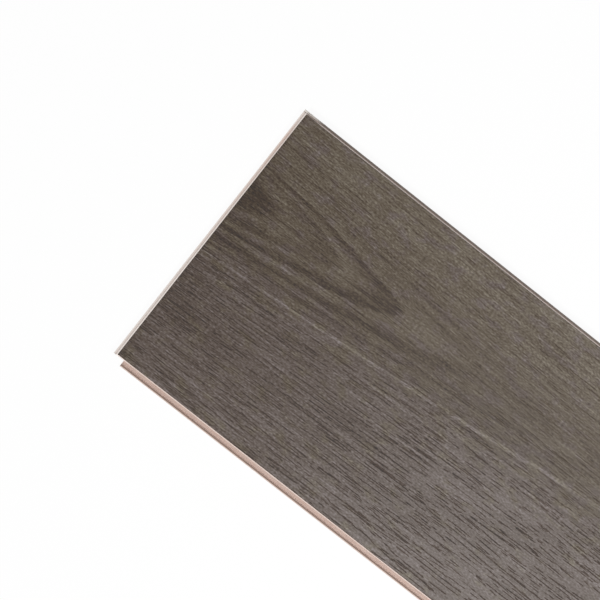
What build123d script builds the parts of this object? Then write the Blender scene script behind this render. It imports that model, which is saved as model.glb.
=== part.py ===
from build123d import *
from collections import namedtuple
import math
import os

# A click-lock laminate floor plank, lying decor side up.
# Frame: X along the plank, +Y across it to the long tongue, Z up. The origin is on the underside, at the
# centre of the rectangle that the plank covers once it is laid.

# The board, in mm
cover_length = 1380.0     # between the joint planes of the two short ends
cover_width = 193.0       # between the joint planes of the two long edges
board_thickness = 8.0     # core and decor together
decor_thickness = 0.3     # printed sheet with its wear surface
edge_bevel = 1.0          # milled 45 degree arris, cut through the decor into the core
fit_clearance = 0.15      # between a tongue edge and the groove edge that it locks into

# One kind of joint edge. "out" is measured from the joint plane under the neighbour, "height" from the
# underside of the board.
JointEdge = namedtuple(
    "JointEdge",
    [
        "groove_height",      # underside of the upper lip, at the joint plane
        "groove_fall",        # how much lower the groove's roof is at its back
        "groove_depth",       # from the joint plane to the groove's back wall
        "tongue_reach",       # how far the tongue stands out of the joint plane
        "lip_reach",          # how far the lower lip stands out of the joint plane
        "lip_thickness",      # lower lip at its thinnest
        "hollow_out",         # where the lip is thinnest
        "hollow_radius",      # of the round hollow that the tongue rolls into
        "heel_out",           # foot of the locking heel
        "heel_lean",          # how far the heel's locking face leans out on its way up
        "heel_height",        # top of the heel
        "heel_land",          # level top of the heel, from its inner tip to where the lip's end rounds off
        "tongue_round",       # rounded tip of the tongue
    ],
)

long_edge = JointEdge(
    groove_height=5.6,
    groove_fall=0.5,
    groove_depth=2.2,
    tongue_reach=1.9,
    lip_reach=4.2,
    lip_thickness=1.9,
    hollow_out=0.5,
    hollow_radius=3.6,
    heel_out=2.3,
    heel_lean=0.35,
    heel_height=3.3,
    heel_land=0.35,
    tongue_round=0.45,
)
short_edge = JointEdge(
    groove_height=6.2,
    groove_fall=0.3,
    groove_depth=1.9,
    tongue_reach=1.7,
    lip_reach=6.2,
    lip_thickness=2.1,
    hollow_out=1.6,
    hollow_radius=5.0,
    heel_out=3.9,
    heel_lean=0.35,
    heel_height=3.8,
    heel_land=0.95,
    tongue_round=0.35,
)
foot_chamfer = 0.4        # lower outer corner of each lip
groove_round = 0.25       # cutter's radius in the groove's back corners
heel_tip_round = 0.2      # top inner corner of the locking heel


def hollow_height(edge, out, clearance):
    """Height of the lip's round hollow, or of the tongue's belly that follows it with a clearance."""
    centre_height = edge.lip_thickness + edge.hollow_radius
    radius = edge.hollow_radius - clearance
    return centre_height - math.sqrt(radius**2 - (out - edge.hollow_out) ** 2)


def groove_edge(edge):
    """Outline of a groove edge from the face down to the underside, and its corners to be rounded."""
    back = -edge.groove_depth
    roof_at_back = edge.groove_height - edge.groove_fall
    hollow_back = (back, hollow_height(edge, back, 0))
    hollow_low = (edge.hollow_out, edge.lip_thickness)
    heel_foot = (edge.heel_out, hollow_height(edge, edge.heel_out, 0))
    heel_tip = (edge.heel_out + edge.heel_lean, edge.heel_height)
    lip_end = (edge.lip_reach, edge.heel_height)
    lip_round = edge.lip_reach - heel_tip[0] - edge.heel_land
    upper = Polyline(
        (-edge_bevel, board_thickness),
        (0, board_thickness - edge_bevel),
        (0, edge.groove_height),
        (back, roof_at_back),
        hollow_back,
    )
    hollow = ThreePointArc(hollow_back, hollow_low, heel_foot)
    lower = Polyline(
        heel_foot,
        heel_tip,
        lip_end,
        (edge.lip_reach, foot_chamfer),
        (edge.lip_reach - foot_chamfer, 0),
    )
    rounds = [
        ((back, roof_at_back), groove_round),
        (hollow_back, groove_round),
        (heel_tip, heel_tip_round),
        (lip_end, lip_round),
    ]
    return [upper, hollow, lower], rounds


def tongue_edge(edge):
    """Outline of a tongue edge, drawn where it lies once it is locked into a neighbour's groove edge."""
    tip = -edge.tongue_reach
    roof_slope = edge.groove_fall / edge.groove_depth
    root_top = (0, edge.groove_height - fit_clearance)
    tip_top = (tip, edge.groove_height - fit_clearance - roof_slope * edge.tongue_reach)
    tip_low = (tip, hollow_height(edge, tip, fit_clearance))
    belly_low = (edge.hollow_out, edge.lip_thickness + fit_clearance)
    lock_out = edge.heel_out - fit_clearance
    lock_foot = (lock_out, hollow_height(edge, lock_out, fit_clearance))
    notch_height = edge.heel_height + fit_clearance
    notch_top = (lock_out + edge.heel_lean, notch_height)
    shoulder_out = edge.lip_reach + fit_clearance
    upper = Polyline(
        (edge_bevel, board_thickness),
        (0, board_thickness - edge_bevel),
        root_top,
        tip_top,
        tip_low,
    )
    belly = ThreePointArc(tip_low, belly_low, lock_foot)
    lower = Polyline(lock_foot, notch_top, (shoulder_out, notch_height), (shoulder_out, 0))
    rounds = [(tip_top, edge.tongue_round), (tip_low, edge.tongue_round)]
    return [upper, belly, lower], rounds


def board_section(edge, cover, groove_outwards):
    """Section of the board between its tongue edge and its groove edge, on the XY plane."""
    groove_lines, groove_rounds = groove_edge(edge)
    tongue_lines, tongue_rounds = tongue_edge(edge)
    to_groove = Location((cover / 2, 0, 0))
    to_tongue = Location((-cover / 2, 0, 0))
    lines = [to_groove * line for line in groove_lines] + [to_tongue * line for line in tongue_lines]
    groove_top, groove_foot = lines[0] @ 0, lines[2] @ 1
    tongue_top, tongue_foot = lines[3] @ 0, lines[5] @ 1
    lines += [Line(tongue_top, groove_top), Line(tongue_foot, groove_foot)]
    face = make_face(Curve() + lines).faces()[0]
    corners = [(cover / 2 + x, y, r) for (x, y), r in groove_rounds]
    corners += [(-cover / 2 + x, y, r) for (x, y), r in tongue_rounds]
    for x, y, radius in corners:
        corner = face.vertices().sort_by_distance((x, y, 0))[0]
        face = face.fillet_2d(radius, [corner])
    return face if groove_outwards else mirror(face, Plane.YZ)


def board_blank():
    """The milled board, where the profile of the long edges meets that of the short ends."""
    overrun = 2 * (short_edge.lip_reach + long_edge.lip_reach)
    along = cover_length + overrun
    across = cover_width + overrun
    # the long profile is drawn with its groove edge towards -Y, the short one with its groove end towards +X
    long_plane = Plane(origin=(0, 0, 0), x_dir=(0, 1, 0), z_dir=(1, 0, 0))
    short_plane = Plane(origin=(0, 0, 0), x_dir=(1, 0, 0), z_dir=(0, -1, 0))
    long_profile = long_plane * board_section(long_edge, cover_width, groove_outwards=False)
    short_profile = short_plane * board_section(short_edge, cover_length, groove_outwards=True)
    long_run = extrude(long_profile, amount=along / 2, both=True)
    short_run = extrude(short_profile, amount=across / 2, both=True)
    crossed = long_run & short_run
    # where two profiles meet at a corner, what nothing holds any more falls away as a chip
    return max(crossed.solids(), key=lambda solid: solid.volume)


def decor_slab():
    """The layer of the board's height that is decor."""
    bottom = board_thickness - decor_thickness
    return Pos(0, 0, bottom) * Box(
        cover_length, cover_width, decor_thickness, align=(Align.CENTER, Align.CENTER, Align.MIN)
    )


os.makedirs("parts", exist_ok=True)
board = board_blank()
slab = decor_slab()
export_step((board - slab).solids()[0], "parts/core_board.step")
export_step((board & slab).solids()[0], "parts/decor_layer.step")
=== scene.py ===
import math
import bpy
import numpy as np
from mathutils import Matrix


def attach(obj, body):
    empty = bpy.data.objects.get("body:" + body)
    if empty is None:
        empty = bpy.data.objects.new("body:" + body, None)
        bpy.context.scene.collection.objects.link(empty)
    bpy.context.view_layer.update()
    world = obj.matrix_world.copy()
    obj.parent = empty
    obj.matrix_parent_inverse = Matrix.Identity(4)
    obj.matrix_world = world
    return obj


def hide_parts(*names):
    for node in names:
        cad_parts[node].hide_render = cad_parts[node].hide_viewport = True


# A dark oak laminate floor plank, lying decor side up.
# Metres, with X along the plank from the end that the picture shows, +Y towards the long tongue, Z up.

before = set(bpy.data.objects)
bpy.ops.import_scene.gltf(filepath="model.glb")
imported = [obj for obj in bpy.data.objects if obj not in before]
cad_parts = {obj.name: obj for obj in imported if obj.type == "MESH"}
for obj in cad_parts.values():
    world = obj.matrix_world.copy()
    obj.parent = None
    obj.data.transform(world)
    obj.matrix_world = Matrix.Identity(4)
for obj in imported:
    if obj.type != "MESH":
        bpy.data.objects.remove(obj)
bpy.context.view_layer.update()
mm = 0.001
print("stage: the frame is loaded")


# Shader maths

class Value:
    # one number that varies over the surface: arithmetic on it adds the Math nodes
    def __init__(self, finish, socket):
        self.finish, self.socket = finish, socket

    def __add__(self, other):
        return self.finish.maths("ADD", self, other)

    def __radd__(self, other):
        return self.finish.maths("ADD", other, self)

    def __sub__(self, other):
        return self.finish.maths("SUBTRACT", self, other)

    def __rsub__(self, other):
        return self.finish.maths("SUBTRACT", other, self)

    def __mul__(self, other):
        return self.finish.maths("MULTIPLY", self, other)

    def __rmul__(self, other):
        return self.finish.maths("MULTIPLY", other, self)

    def __truediv__(self, other):
        return self.finish.maths("DIVIDE", self, other)

    def __gt__(self, other):
        return self.finish.maths("GREATER_THAN", self, other)

    def __lt__(self, other):
        return self.finish.maths("LESS_THAN", self, other)


class Finish:
    # the nodes of a material, or of the world, in the making
    def __init__(self, owner):
        owner.use_nodes = True
        self.owner = owner
        self.tree = owner.node_tree
        self.tree.nodes.clear()

    def node(self, kind, settings=None, inputs=None):
        made = self.tree.nodes.new(kind)
        for name, setting in (settings or {}).items():
            if name == "stops":
                self.setStops(made.color_ramp, setting)
            else:
                setattr(made, name, setting)
        for name, given in (inputs or {}).items():
            if isinstance(given, Value):
                self.tree.links.new(given.socket, made.inputs[name])
            else:
                made.inputs[name].default_value = given
        return made

    def setStops(self, ramp, stops):
        while len(ramp.elements) < len(stops):
            ramp.elements.new(1.0)
        for element, (place, colour) in zip(ramp.elements, stops):
            element.position = place
            element.color = (*colour, 1.0)

    def out(self, made, name=0):
        return Value(self, made.outputs[name])

    def maths(self, operation, first, second=0.0, third=0.0):
        made = self.node("ShaderNodeMath", {"operation": operation}, {0: first, 1: second, 2: third})
        return self.out(made)

    def between(self, low, high, value):
        # 0 below low, 1 above high and a smooth step from one to the other
        inputs = {"Value": value, "From Min": low, "From Max": high}
        return self.out(self.node("ShaderNodeMapRange", {"interpolation_type": "SMOOTHSTEP"}, inputs))

    def table(self, value, stops):
        # a curve through the stops, each a value and a height from 0 to 1
        low, high = stops[0][0], stops[-1][0]
        greys = [((place - low) / (high - low), (height,) * 3) for place, height in stops]
        share = (value - low) / (high - low)
        return self.out(self.node("ShaderNodeValToRGB", {"stops": greys}, {0: share}), "Color")

    def vector(self, x=0.0, y=0.0, z=0.0):
        return self.out(self.node("ShaderNodeCombineXYZ", inputs={0: x, 1: y, 2: z}))

    def noise(self, place, detail=2.0, roughness=0.5):
        inputs = {"Vector": place, "Scale": 1.0, "Detail": detail, "Roughness": roughness}
        return self.out(self.node("ShaderNodeTexNoise", inputs=inputs), "Fac")

    def mix(self, factor, first, second, how="MIX"):
        settings = {"data_type": "RGBA", "blend_type": how, "clamp_factor": True}
        made = self.node("ShaderNodeMix", settings, {0: factor, 6: first, 7: second})
        return self.out(made, 2)

    def place(self):
        # the surface point in millimetres, as three values
        spot = self.node("ShaderNodeTexCoord")
        parts = self.node("ShaderNodeSeparateXYZ", inputs={0: self.out(spot, "Object")})
        return [self.out(parts, i) * 1000.0 for i in range(3)]

    def surface(self, inputs, relief=None, depth=0.0):
        if relief is not None:
            relieved = {"Height": relief, "Distance": depth, "Strength": 1.0}
            inputs["Normal"] = self.out(self.node("ShaderNodeBump", inputs=relieved), "Normal")
        shader = self.node("ShaderNodeBsdfPrincipled", inputs=inputs)
        self.node("ShaderNodeOutputMaterial", inputs={"Surface": self.out(shader)})
        return self.owner


def linear(red, green, blue):
    # a colour as a screen shows it, 0 to 255, as the shader's light values
    share = np.array([red, green, blue]) / 255
    light = np.where(share <= 0.04045, share / 12.92, ((share + 0.055) / 1.055) ** 2.4)
    return (*light.tolist(), 1.0)


def addObject(name, data):
    added = bpy.data.objects.new(name, data)
    bpy.context.scene.collection.objects.link(added)
    return added


def poseOf(right, upright, back, spot):
    pose = np.eye(4)
    pose[:3, 0], pose[:3, 1], pose[:3, 2], pose[:3, 3] = right, upright, back, spot
    return pose.T.tolist()


# The camera looks straight down but for a small lean, through a long lens

cameraSet = {
    "lens": 150.0,
    "sensor": 36.0,
    "clip": (0.05, 60.0),
    "target": (-0.6204, 0.0015, 0.008),
    "leanX": math.radians(3.4),       # towards the shown short end
    "leanY": math.radians(3.5),       # towards the lower lip
    "turn": math.radians(128.1),      # from +X to the picture's upright
    "distance": 1.570,
}


def placeCamera(chosen):
    data = bpy.data.cameras.new("camera")
    data.lens, data.sensor_width = chosen["lens"], chosen["sensor"]
    data.clip_start, data.clip_end = chosen["clip"]
    back = np.array([-math.tan(chosen["leanX"]), -math.tan(chosen["leanY"]), 1.0])
    back /= np.linalg.norm(back)
    upright = np.array([math.cos(chosen["turn"]), math.sin(chosen["turn"]), 0.0])
    upright -= back * (upright @ back)
    upright /= np.linalg.norm(upright)
    right = np.cross(upright, back)
    spot = np.array(chosen["target"]) + back * chosen["distance"]
    camera = addObject("camera", data)
    camera.matrix_world = poseOf(right, upright, back, spot)
    bpy.context.scene.camera = camera


placeCamera(cameraSet)
print("stage: the camera is placed")


# The oak print

oakSet = {
    # mm, along from the shown short end and across with +Y: each band starts at its first figure and is
    # full at its second
    "start": -689.3,                  # the decor's shown short end, in X
    "lipSideFrom": (30, -30),
    "paintedSheenFrom": (110, 270),        # painted sheen: the lip's side is painted paler and greyer along the plank
    # how the fibres lean, across the board, with 0.5 for straight, and how far along they do
    "leans": [(-96, 0.50), (-80, 0.52), (-20, 0.56), (5, 0.57), (40, 0.50), (60, 0.47), (96, 0.49)],
    "leanUntil": 230.0,
    "leanFade": 100.0,
    # the figure: arches about a middle line
    "axis": 35.1,
    "turnBack": 400.0,                # the arches point the other way this far times 1.57 along
    "spreadLip": 0.150,               # how fast the arches open on the lip side, 1 per mm
    "spreadTongue": 0.300,            # the same on the tongue side
    "swayBy": 7,                      # how far a noise moves the middle line
    "featherBy": 22,                  # how far two more move the arches' reach
    "wanderBy": 16,
    "arches": [                       # reach, and tone from 0, dark, to 1, pale
        (0, 0.05), (16, 0.10), (25, 0.42), (31, 0.60), (50, 0.50), (66, 0.34), (73, 0.40), (79, 0.74),
        (88, 0.60), (99, 0.40), (108, 0.20), (121, 0.12), (126, 0.60), (140, 0.64), (158, 0.50),
        (167, 0.20), (182, 0.14), (190, 0.48), (205, 0.56), (230, 0.44), (244, 0.26), (252, 0.52),
        (290, 0.46), (316, 0.44), (323, 0.92), (334, 0.92), (342, 0.50), (364, 0.34), (372, 0.52),
        (400, 0.50),
    ],
    "archesFrom": (0, 3),             # the reach where the listed arches take over from plain rings
    "archesUntil": (400, 380),        # and where they give way to them
    "soonerBy": 245,                  # on the tongue's side they end this much sooner
    "soonerFrom": (-18, -4),          # from the middle line
    "plainRings": (34, 2.0, 2.0, 0.6),  # their noise: size in reach, seed, detail, roughness
    "plainAmount": 0.8,
    "fadeLift": 0.45,                 # added to the noise that strengthens and fades all rings
    "layers": {                       # noises: size along, size across, seed, detail, roughness
        "sway": (150, 60, 3.0, 1.0, 0.5),
        "feather": (11, 0.8, 7.0, 2.0, 0.5),
        "wander": (55, 12, 1.0, 2.0, 0.5),
        "fade": (40, 7, 9.0, 1.0, 0.5),
        "fibre": (9, 0.9, 11.0, 1.5, 0.5),
        "streak": (60, 2.2, 13.0, 2.0, 0.6),
        "patch": (60, 16, 15.0, 1.0, 0.5),
        "grain": (1.7, 0.8, 21.0, 0.0, 0.5),
        "crowd": (34, 5, 19.0, 2.0, 0.5),
        "cloud": (13, 8, 5.0, 2.0, 0.6),
    },
    # pores: dashes in crowds, most of them towards the lip
    "dash": {
        "size": (45, 2.4),            # of the noise that draws the lines, along and across
        "aside": 0.3,                 # between the two spots that give its slope
        "leastSlope": 0.02,           # added to it, for it can be none
        "breakSize": (5, 1.1),        # of the noise that breaks them
        "breakSeed": 8,               # added to the seed
        "width": (0.36, 0.14),        # from a line's faint edge to its full darkness, in mm
        "slopeFrom": (0.07, 0.14),
        "keptFrom": (0.70, 0.78),     # of the breaking noise and the crowd together
    },
    "dashSeeds": (17.4, 53.4),
    "crowdAmount": 0.4,
    "crowdLip": 0.10,
    # the print's tone, as a share from its darkest to its palest shade
    "middle": 0.59,
    "amounts": {"ring": 0.58, "fibre": 0.58, "streak": 0.60, "patch": 0.16, "grain": 0.66},
    "poreDark": 0.21,
    "poreDarkLip": 0.17,
    # painted shade: the print is darker within 45 mm of the shown end, standing in for the sheen that is
    # weaker there
    "endFrom": (45, 0),
    "endPaintedShade": 0.05,
    "rimFrom": (2.4, 0.8),
    "rimDark": 0.07,
    # painted sheen: how much paler the lip's side grows along the plank
    "paintedSheenPale": 0.03,
    "tide": [                         # slow change of tone across the board, 0.5 for none
        (-96, 0.52), (-80, 0.52), (-48, 0.447), (-16, 0.49), (16, 0.42), (48, 0.464), (80, 0.567),
        (96, 0.573),
    ],
    "shades": [                       # from the darkest pore to the palest fleck
        (0.00, linear(25, 15, 8)[:3]),
        (0.25, linear(50, 36, 25)[:3]),
        (0.50, linear(77, 65, 54)[:3]),
        (0.75, linear(102, 92, 84)[:3]),
        (1.00, linear(132, 124, 117)[:3]),
    ],
    "mauve": (0.880, 0.875, 0.960, 1.0),  # the two casts multiply the print's colours
    "olive": (0.870, 0.880, 0.780, 1.0),
    "oliveFrom": (0.40, 0.62),        # of the cloud noise
    "mauveLip": 0.18,                 # more mauve on the lip's side, more olive on the tongue's
    "paintedSheenMauve": 0.05,             # and more mauve further along the lip's side, the greyer cast of the painted sheen
    "cutEdge": linear(52, 43, 37),    # the sheet's own edge, which the arris cuts open
    "cutFrom": (7.98, 7.92),          # above the underside
    "roughness": 0.40,
    "roughPore": 0.15,
    "roughFibre": 0.12,
    "gloss": 0.3,                     # of the matt wear surface
    "fibreRelief": 0.5,               # as a share of the pores' depth
    "reliefDepth": 0.00005,           # m
}


def dashes(made, chosen, along, across, crowd, seed):
    # thin dark lines where a drawn-out noise crosses its middle value, broken along their length:
    # the distance to a crossing is the noise's difference from it over the noise's slope
    (long, wide), aside = chosen["size"], chosen["aside"]
    here = made.noise(made.vector(along / long, across / wide, seed), 0.0)
    beside = made.noise(made.vector(along / long, (across + aside) / wide, seed), 0.0)
    slope = made.maths("ABSOLUTE", beside - here) / aside
    distance = made.maths("ABSOLUTE", here - 0.5) / (slope + chosen["leastSlope"])
    long, wide = chosen["breakSize"]
    kept = made.noise(made.vector(along / long, across / wide, seed + chosen["breakSeed"]), 0.0)
    # a line that runs into another would end in a blot, so it stops where the slope is low
    line = made.between(*chosen["width"], distance) * made.between(*chosen["slopeFrom"], slope)
    return line * made.between(*chosen["keptFrom"], kept + crowd)


def oakFinish(chosen):
    made = Finish(bpy.data.materials.new("smokedOakPrint"))
    x, y, z = made.place()
    along = x - chosen["start"]

    def layer(name, aside):
        long, wide, seed, detail, roughness = chosen["layers"][name]
        return made.noise(made.vector(along / long, aside / wide, seed), detail, roughness)

    drift = made.maths("SINE", along / chosen["turnBack"]) * chosen["turnBack"]
    # the fibres lean one way below the figure and the other way above it, and run straight further along
    lean = made.table(y, chosen["leans"]) - 0.5
    across = y - lean * made.maths("SMOOTH_MIN", drift, chosen["leanUntil"], chosen["leanFade"])
    # arches: along + spread * across squared is the same all along one ring
    sway = layer("sway", y) - 0.5
    feather = layer("feather", across) - 0.5
    wander = layer("wander", y) - 0.5
    offset = y - chosen["axis"] + sway * chosen["swayBy"]
    spread = chosen["spreadLip"] + (chosen["spreadTongue"] - chosen["spreadLip"]) * (offset > 0)
    reach = drift + spread * offset * offset
    reach = reach + feather * chosen["featherBy"] + wander * chosen["wanderBy"]
    near = made.table(reach, chosen["arches"]) - 0.5
    size, seed, detail, roughness = chosen["plainRings"]
    plain = made.noise(made.vector(reach / size, 0.0, seed), detail, roughness) - 0.5
    sooner = made.between(*chosen["soonerFrom"], offset) * chosen["soonerBy"]
    known = made.between(*chosen["archesFrom"], reach)
    known = known * made.between(*chosen["archesUntil"], reach + sooner)
    fade = layer("fade", across) + chosen["fadeLift"]
    ring = (near * known + plain * (1 - known) * chosen["plainAmount"]) * fade
    fibre = layer("fibre", across) - 0.5
    # every part of the print adds to the tone by its amount
    shade = chosen["middle"] + ring * chosen["amounts"]["ring"] + fibre * chosen["amounts"]["fibre"]
    for name in ("streak", "patch", "grain"):
        shade = shade + (layer(name, across) - 0.5) * chosen["amounts"][name]
    lipSide = made.between(*chosen["lipSideFrom"], y)
    crowd = layer("crowd", across) * chosen["crowdAmount"] + lipSide * chosen["crowdLip"]
    pore = made.maths("MAXIMUM", *[
        dashes(made, chosen["dash"], along, across, crowd, seed) for seed in chosen["dashSeeds"]
    ])
    shade = shade - pore * (chosen["poreDark"] + lipSide * chosen["poreDarkLip"])
    # painted shade near the shown end
    shade = shade - made.between(*chosen["endFrom"], along) * chosen["endPaintedShade"]
    shade = shade - made.between(*chosen["rimFrom"], along) * chosen["rimDark"]
    shade = shade + (made.table(y, chosen["tide"]) - 0.5)
    # painted sheen: paler and greyer further along on the lip's side
    further = made.between(*chosen["paintedSheenFrom"], along) * lipSide
    shade = shade + further * chosen["paintedSheenPale"]
    tone = made.out(made.node("ShaderNodeValToRGB", {"stops": chosen["shades"]}, {0: shade}), "Color")
    # mauve clouds towards the lip and olive ones towards the tongue
    cloud = layer("cloud", y) + (0.5 - lipSide) * chosen["mauveLip"]
    # the painted sheen's greyer cast
    cloud = cloud - further * chosen["paintedSheenMauve"]
    cast = made.mix(made.between(*chosen["oliveFrom"], cloud), chosen["mauve"], chosen["olive"])
    tone = made.mix(1.0, tone, cast, "MULTIPLY")
    tone = made.mix(made.between(*chosen["cutFrom"], z), tone, chosen["cutEdge"])
    rough = chosen["roughness"] + pore * chosen["roughPore"] + fibre * chosen["roughFibre"]
    inputs = {"Base Color": tone, "Roughness": rough, "Specular IOR Level": chosen["gloss"]}
    return made.surface(inputs, fibre * chosen["fibreRelief"] - pore, chosen["reliefDepth"])


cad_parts["decor_layer"].data.materials.clear()
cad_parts["decor_layer"].data.materials.append(oakFinish(oakSet))
print("stage: the oak print is on")


# The fibreboard core

boardSet = {
    "body": linear(190, 167, 156),
    "speck": linear(140, 112, 96),
    "speckSize": 0.45,                # mm
    "speckDetail": 3.0,
    "speckRoughness": 0.6,
    "speckFrom": (0.42, 0.75),        # of its noise
    "speckAmount": 0.35,
    "cloud": linear(210, 198, 191),
    "cloudSize": (14, 5, 2.5),        # mm along, across and up
    "cloudDetail": 2.0,
    "cloudFrom": (0.3, 0.8),          # of its noise
    "cloudAmount": 0.3,
    "arris": linear(228, 218, 212),
    # the shown short end's own paler tone, graded by painted highlight
    "end": linear(199, 189, 183),
    # painted light: the heel's inner slope, painted paler to lift the shade that falls there
    "heel": linear(222, 201, 191),
    # painted shade on the long lip's outer rounding and its cut end
    "paintedLipShade": linear(106, 85, 74),
    # painted shadow: the long tongue's top, which lies in the shade of the board's top edge
    "tongueShadow": linear(120, 110, 103),
    "unshadowedTongueEnd": linear(228, 222, 215),    # the long tongue's end, which the painted shadow doesn't reach, painted pale
    # painted shade: the tongue side's arris near the shown end, which faces away from the key light
    "shadedTongueArris": linear(128, 119, 110),
    "paper": linear(176, 160, 138),
    # mm along, across or up: each band starts at its first figure and is full at its second
    "arrisFrom": (6.95, 7.02),        # up
    "paperBelow": 0.03,               # up, without a band
    "endFrom": (-688.4, -689.0),      # along: the shown short end's arris and tongue
    "endLipFrom": (150, -60),         # across: that end is painted palest towards the lip, a painted highlight
    "endCornerFrom": (78, 94),        # and again at the corner by the long tongue
    "tipFrom": (-690.9, -691.6),      # along: the rounded tip of the short tongue, painted paler as a highlight
    "cornerFrom": (-677.0, -688.0),   # along: the long lip's arris is painted paler towards the short end, a painted highlight
    "unshadowedTongueEndFrom": (-676.0, -684.0),     # along: where the long tongue's painted shadow ends
    "lipEndFrom": (-682.0, -683.6),   # along: the cut end of the long lip, in painted shade
    "lipSideFrom": (-95.0, -95.4),    # across: the arris on the lip's side
    "tongueSideFrom": (95.0, 95.4),   # across: the arris on the tongue's side
    "lipFrom": (-96.6, -99.5),        # across: the long lip
    "heelFrom": (-97.8, -98.4),       # across: the inner slope of its heel, painted paler to lift the shade there
    "paintedLipShadeFrom": (-98.9, -99.5),      # across: its outer rounding, in painted shade
    "paintedLipShadeUntil": (-99.8, -100.4),
    "tongueShadowFrom": (96.8, 97.2),          # across: the long tongue, in painted shadow
    "endCornerAmount": 0.7,
    "tipHighlight": 0.6,
    # how strong the long tongue's painted shadow is
    "tongueShadowAmount": 0.9,
    "paintedLipShadeFade": 0.7,
    "lipEndPaintedShade": 0.6,
    # how pale the arris is: all round, as its own pale fibreboard, and what painted highlight adds where
    "arrisAmount": 0.25,
    "arrisEndHighlight": 0.75,
    "arrisCornerHighlight": 0.5,
    "arrisTongueHighlight": 0.35,
    "roughness": 0.78,
    "roughGrit": 0.2,
    "reliefDepth": 0.00003,           # m
}


def boardFinish(chosen):
    made = Finish(bpy.data.materials.new("milledFibreboard"))
    x, y, z = place = made.place()
    spot = made.vector(*[part / chosen["speckSize"] for part in place])
    grit = made.noise(spot, chosen["speckDetail"], chosen["speckRoughness"])
    spot = made.vector(*[part / size for part, size in zip(place, chosen["cloudSize"])])
    cloud = made.noise(spot, chosen["cloudDetail"])
    specked = made.between(*chosen["speckFrom"], grit) * chosen["speckAmount"]
    clouded = made.between(*chosen["cloudFrom"], cloud) * chosen["cloudAmount"]
    tone = made.mix(specked, chosen["body"], chosen["speck"])
    tone = made.mix(clouded, tone, chosen["cloud"])
    # the shown short end: its own paler tone, with painted highlight that makes it palest towards the
    # lip, and paler again at the corner by the long tongue
    shownEnd = made.between(*chosen["endFrom"], x)
    endCorner = made.between(*chosen["endCornerFrom"], y) * chosen["endCornerAmount"]
    end = shownEnd * (made.between(*chosen["endLipFrom"], y) + endCorner)
    tone = made.mix(end, tone, chosen["end"])
    # painted highlight on the short tongue's rounded tip
    tone = made.mix(made.between(*chosen["tipFrom"], x) * chosen["tipHighlight"], tone, chosen["arris"])
    # the long tongue is painted dark, a painted shadow of the board's top edge, which stops short of
    # that end
    unshadowedTongueEnd = made.between(*chosen["unshadowedTongueEndFrom"], x)
    shadowedTongue = made.mix(unshadowedTongueEnd, chosen["tongueShadow"], chosen["unshadowedTongueEnd"])
    tone = made.mix(made.between(*chosen["tongueShadowFrom"], y) * chosen["tongueShadowAmount"], tone, shadowedTongue)
    # the arris: its own pale fibreboard all round, with painted highlight added at the shown end, on the
    # lip's side towards that end and on the tongue's side, and painted shade on the tongue's side near
    # that end
    corner = made.between(*chosen["cornerFrom"], x) * made.between(*chosen["lipSideFrom"], y)
    tongueSide = made.between(*chosen["tongueSideFrom"], y)
    paler = chosen["arrisAmount"] + end * chosen["arrisEndHighlight"]
    paler = paler + corner * chosen["arrisCornerHighlight"] + tongueSide * chosen["arrisTongueHighlight"]
    arrisTone = made.mix(tongueSide * unshadowedTongueEnd * (1 - shownEnd), chosen["arris"], chosen["shadedTongueArris"])
    tone = made.mix(made.between(*chosen["arrisFrom"], z) * paler, tone, arrisTone)
    # the long lip: its heel's inner slope is painted paler to lift the shade that falls there, and its
    # outer rounding and cut end are in painted shade
    tone = made.mix(made.between(*chosen["heelFrom"], y), tone, chosen["heel"])
    outermost = made.between(*chosen["paintedLipShadeUntil"], y) * chosen["paintedLipShadeFade"]
    paintedLipShade = made.between(*chosen["paintedLipShadeFrom"], y) * (1 - outermost)
    lipEnd = made.between(*chosen["lipEndFrom"], x) * made.between(*chosen["lipFrom"], y)
    paintedLipShade = made.maths("MAXIMUM", paintedLipShade, lipEnd * chosen["lipEndPaintedShade"])
    tone = made.mix(paintedLipShade, tone, chosen["paintedLipShade"])
    tone = made.mix(z < chosen["paperBelow"], tone, chosen["paper"])
    rough = chosen["roughness"] + (grit - 0.5) * chosen["roughGrit"]
    return made.surface({"Base Color": tone, "Roughness": rough}, grit, chosen["reliefDepth"])


# The milled core in mm: the profile of the long edges crossed with that of the short ends, with smooth
# rounds. "Out" is measured from a joint plane under the neighbour, heights from the underside.

coreSet = {
    "length": 1380.0,                 # between the joint planes
    "width": 193.0,
    "top": 7.7,                       # under the decor
    "bevelFoot": 7.0,                 # where the 45 degree arris meets the joint plane
    "clearance": 0.15,                # between a tongue edge and the groove edge that it locks into
    "footChamfer": 0.4,
    "grooveRound": 0.25,
    "heelTipRound": 0.2,
    "cornerRoom": 0.35,               # the hollow's samples start this far from its rounded corner
    "roundSteps": 9,
    "hollowSteps": 20,
    "overrun": 1.0,                   # how far the crossing profile goes on past the top and underside
    "reachPast": 10.0,                # how far each profile is carried past the joint planes
    "sharpFrom": math.radians(30),
    "long": {
        "grooveHeight": 5.6, "grooveFall": 0.5, "grooveDepth": 2.2, "tongueReach": 1.9,
        "lipReach": 4.2, "lipThickness": 1.9, "hollowOut": 0.5, "hollowRadius": 3.6,
        "heelOut": 2.3, "heelLean": 0.35, "heelHeight": 3.3, "heelRound": 1.2, "tongueRound": 0.45,
    },
    "short": {
        "grooveHeight": 6.2, "grooveFall": 0.3, "grooveDepth": 1.9, "tongueReach": 1.7,
        "lipReach": 6.2, "lipThickness": 2.1, "hollowOut": 1.6, "hollowRadius": 5.0,
        "heelOut": 3.9, "heelLean": 0.35, "heelHeight": 3.8, "heelRound": 1.0, "tongueRound": 0.35,
    },
}


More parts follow.
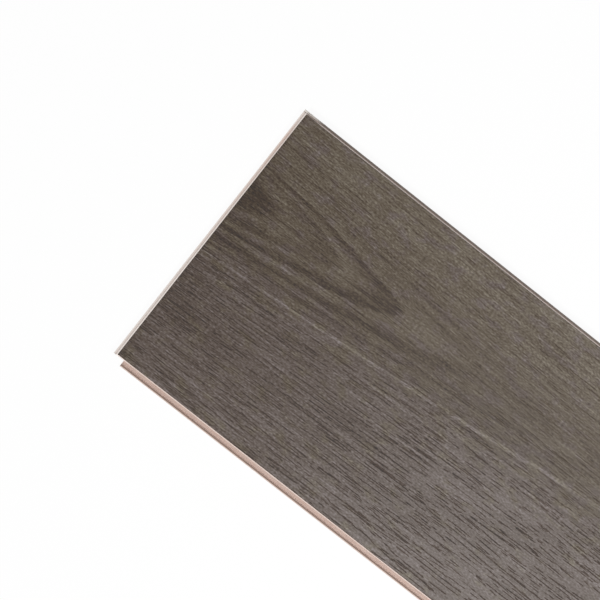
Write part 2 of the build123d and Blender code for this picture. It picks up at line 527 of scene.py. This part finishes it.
def hollowHeight(edge, out, clearance):
    # the lower half of a circle: the lip's hollow, or the tongue's belly a clearance above it
    radius = edge["hollowRadius"] - clearance
    drop = np.sqrt(radius**2 - (out - edge["hollowOut"]) ** 2)
    return edge["lipThickness"] + edge["hollowRadius"] - drop


def grooveOutline(chosen, edge, past):
    # out, height and rounding of each corner, from the arris down to the foot of the lip
    back, lip = -edge["grooveDepth"], edge["lipReach"]
    out = np.linspace(back + chosen["cornerRoom"], edge["heelOut"], chosen["hollowSteps"])
    upper = [
        (chosen["bevelFoot"] - chosen["top"] - past, chosen["top"] + past, 0),
        (0, chosen["bevelFoot"], 0),
        (0, edge["grooveHeight"], 0),
        (back, edge["grooveHeight"] - edge["grooveFall"], chosen["grooveRound"]),
        (back, hollowHeight(edge, back, 0), chosen["grooveRound"]),
    ]
    hollow = np.stack([out, hollowHeight(edge, out, 0), np.zeros_like(out)], axis=1)
    lower = [
        (edge["heelOut"] + edge["heelLean"], edge["heelHeight"], chosen["heelTipRound"]),
        (lip, edge["heelHeight"], edge["heelRound"]),
        (lip, chosen["footChamfer"], 0),
        (lip - chosen["footChamfer"] - past, -past, 0),
    ]
    return np.concatenate([upper, hollow, lower])


def tongueOutline(chosen, edge, past):
    # the same for the tongue edge, where it lies once it is locked into a neighbour
    tip, clearance = -edge["tongueReach"], chosen["clearance"]
    lock, shoulder = edge["heelOut"] - clearance, edge["lipReach"] + clearance
    root, notch = edge["grooveHeight"] - clearance, edge["heelHeight"] + clearance
    tipFall = edge["grooveFall"] * edge["tongueReach"] / edge["grooveDepth"]
    out = np.linspace(tip + chosen["cornerRoom"], lock, chosen["hollowSteps"])
    upper = [
        (chosen["top"] + past - chosen["bevelFoot"], chosen["top"] + past, 0),
        (0, chosen["bevelFoot"], 0),
        (0, root, 0),
        (tip, root - tipFall, edge["tongueRound"]),
        (tip, hollowHeight(edge, tip, clearance), edge["tongueRound"]),
    ]
    belly = np.stack([out, hollowHeight(edge, out, clearance), np.zeros_like(out)], axis=1)
    lower = [(lock + edge["heelLean"], notch, 0), (shoulder, notch, 0), (shoulder, -past, 0)]
    return np.concatenate([upper, belly, lower])


def roundCorners(outline, radii, steps):
    # a rounded corner becomes an arc whose ends lie at radius / tan(half the corner's angle) from it
    before = np.roll(outline, 1, axis=0) - outline
    after = np.roll(outline, -1, axis=0) - outline
    before /= np.linalg.norm(before, axis=1, keepdims=True)
    after /= np.linalg.norm(after, axis=1, keepdims=True)
    half = np.arccos(np.clip((before * after).sum(axis=1), -1, 1)) / 2
    reach = (radii / np.tan(half))[:, None]
    middle = before + after
    middle /= np.maximum(np.linalg.norm(middle, axis=1, keepdims=True), 1e-9)
    centre = outline + middle * (radii / np.sin(half))[:, None]
    start = (outline + before * reach - centre)[:, None]
    stop = (outline + after * reach - centre)[:, None]
    sweep = (np.pi - 2 * half)[:, None, None]
    share = np.linspace(0, 1, steps)[None, :, None]
    turned = np.sin((1 - share) * sweep) * start + np.sin(share * sweep) * stop
    arcs = centre[:, None] + turned / np.maximum(np.sin(sweep), 1e-9)
    plain = radii == 0
    arcs[plain] = outline[plain][:, None]
    kept = np.ones(arcs.shape[:2], bool)
    kept[plain, 1:] = False
    return arcs[kept]


def boardOutline(chosen, edge, cover, past):
    # the whole section: the groove edge at +cover / 2, then back up the tongue edge at -cover / 2
    groove, tongue = grooveOutline(chosen, edge, past), tongueOutline(chosen, edge, past)
    groove[:, 0] += cover / 2
    tongue[:, 0] -= cover / 2
    loop = np.concatenate([groove, tongue[::-1]])
    return roundCorners(loop[:, :2], loop[:, 2], chosen["roundSteps"])


def carryOutline(name, low, high):
    # a solid between two copies of one outline, given as points in space
    count = len(low)
    step = np.arange(count)
    following = np.roll(step, -1)
    sides = np.stack([step, following, following + count, step + count], axis=1)
    mesh = bpy.data.meshes.new(name)
    caps = [step[::-1].tolist(), (step + count).tolist()]
    mesh.from_pydata(np.concatenate([low, high]).tolist(), [], sides.tolist() + caps)
    return addObject(name, mesh)


def largestIsland(mesh):
    # each point takes the lowest number among its neighbours until nothing changes
    ends = np.empty(len(mesh.edges) * 2, np.int32)
    mesh.edges.foreach_get("vertices", ends)
    first, second = ends.reshape(-1, 2).T
    label, before = np.arange(len(mesh.vertices)), None
    while before is None or (label != before).any():
        before = label
        lowest = np.minimum(label[first], label[second])
        label = label.copy()
        np.minimum.at(label, first, lowest)
        np.minimum.at(label, second, lowest)
    return label == np.bincount(label).argmax()


def millCore(chosen):
    past, beyond = chosen["overrun"], chosen["reachPast"]
    section = boardOutline(chosen, chosen["long"], chosen["width"], 0.0)
    half = np.full(len(section), chosen["length"] / 2 + beyond)
    low = np.stack([-half, -section[:, 0], section[:, 1]], axis=1) * mm
    high = np.stack([half, -section[:, 0], section[:, 1]], axis=1) * mm
    board = carryOutline("longProfile", low, high)
    section = boardOutline(chosen, chosen["short"], chosen["length"], past)
    half = np.full(len(section), chosen["width"] / 2 + beyond)
    low = np.stack([section[:, 0], -half, section[:, 1]], axis=1) * mm
    high = np.stack([section[:, 0], half, section[:, 1]], axis=1) * mm
    cutter = carryOutline("shortProfile", low, high)
    cross = board.modifiers.new("cross", "BOOLEAN")
    cross.operation, cross.solver, cross.object = "INTERSECT", "EXACT", cutter
    crossed = board.evaluated_get(bpy.context.evaluated_depsgraph_get()).to_mesh()
    # where two profiles meet at a corner, what nothing holds any more falls away as a chip
    kept = largestIsland(crossed)
    spots = np.empty(len(crossed.vertices) * 3)
    crossed.vertices.foreach_get("co", spots)
    faces = [list(face.vertices) for face in crossed.polygons if kept[face.vertices[0]]]
    number = np.cumsum(kept) - 1
    faces = [number[face].tolist() for face in faces]
    mesh = bpy.data.meshes.new("milledCore")
    mesh.from_pydata(spots.reshape(-1, 3)[kept].tolist(), [], faces)
    mesh.polygons.foreach_set("use_smooth", np.ones(len(mesh.polygons), bool))
    mesh.set_sharp_from_angle(angle=chosen["sharpFrom"])
    for spare in (board, cutter):
        bpy.data.objects.remove(spare)
    return addObject("milledCore", mesh)


milledCore = millCore(coreSet)
milledCore.data.materials.append(boardFinish(boardSet))
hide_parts("core_board")
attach(milledCore, "root")
print("stage: the core is milled and finished")


# Floor, light and sky

studioSet = {
    "floorSize": 14.0,
    "floorColour": (0.86, 0.86, 0.86, 1.0),
    "floorLift": 0.93,                # share of plain white that the camera sees in the floor
    "sky": 0.27,                      # the camera itself sees plain white
    "plainWhite": (1.0, 1.0, 1.0, 1.0),
    "keyStrength": 2.2,
    "keySoftness": math.radians(14),
    "keyFrom": (-0.37, -0.60, 0.71),
    "sheenPower": 3.5,
    "sheenSize": 0.3,
    "sheenSpot": (-0.24, -0.08, 0.85),
}


def seenRays(made):
    rays = made.node("ShaderNodeLightPath")
    parts = [made.out(rays, name) for name in ("Is Camera Ray", "Is Glossy Ray", "Is Transmission Ray")]
    return made.maths("MINIMUM", parts[0] + parts[1] + parts[2], 1.0)


def layFloor(chosen):
    half = chosen["floorSize"] / 2
    side = np.linspace(-half, half, 3)
    gridX, gridY = np.meshgrid(side, side, indexing="ij")
    points = np.stack([gridX, gridY, np.zeros_like(gridX)], axis=-1).reshape(-1, 3)
    index = np.arange(9).reshape(3, 3)
    corners = [index[:-1, :-1], index[1:, :-1], index[1:, 1:], index[:-1, 1:]]
    mesh = bpy.data.meshes.new("floor")
    mesh.from_pydata(points.tolist(), [], np.stack(corners, axis=-1).reshape(-1, 4).tolist())
    floor = addObject("floor", mesh)
    made = Finish(bpy.data.materials.new("paleFloor"))
    matt = made.out(made.node("ShaderNodeBsdfDiffuse", inputs={"Color": chosen["floorColour"]}))
    white = made.out(made.node("ShaderNodeEmission", inputs={"Color": chosen["plainWhite"]}))
    lifted = seenRays(made) * chosen["floorLift"]
    both = made.out(made.node("ShaderNodeMixShader", inputs={0: lifted, 1: matt, 2: white}))
    made.node("ShaderNodeOutputMaterial", inputs={"Surface": both})
    mesh.materials.append(made.owner)


def hangLamp(name, kind, energy, spot, towards):
    data = bpy.data.lights.new(name, kind)
    data.energy = energy
    lamp = addObject(name, data)
    aim = np.array(towards, float) - np.array(spot, float)
    back = -aim / np.linalg.norm(aim)
    side = np.cross((0.0, 1.0, 0.0), back)
    side /= np.linalg.norm(side)
    lamp.matrix_world = poseOf(side, np.cross(back, side), back, spot)
    lamp.visible_camera = False
    return lamp


def lightStudio(chosen):
    made = Finish(bpy.data.worlds.new("studio"))
    bpy.context.scene.world = made.owner
    skies = []
    for strength in (chosen["sky"], 1.0):
        inputs = {"Color": chosen["plainWhite"], "Strength": strength}
        skies.append(made.out(made.node("ShaderNodeBackground", inputs=inputs)))
    inputs = {0: seenRays(made), 1: skies[0], 2: skies[1]}
    both = made.out(made.node("ShaderNodeMixShader", inputs=inputs))
    made.node("ShaderNodeOutputWorld", inputs={"Surface": both})
    key = hangLamp("keyLamp", "SUN", chosen["keyStrength"], chosen["keyFrom"], (0.0, 0.0, 0.0))
    key.data.angle = chosen["keySoftness"]
    spot = chosen["sheenSpot"]
    sheen = hangLamp("sheenPanel", "AREA", chosen["sheenPower"], spot, (spot[0], spot[1], 0.0))
    sheen.data.size = chosen["sheenSize"]


layFloor(studioSet)
lightStudio(studioSet)
bpy.context.scene.view_settings.view_transform = "Standard"
print("stage: the studio is lit")
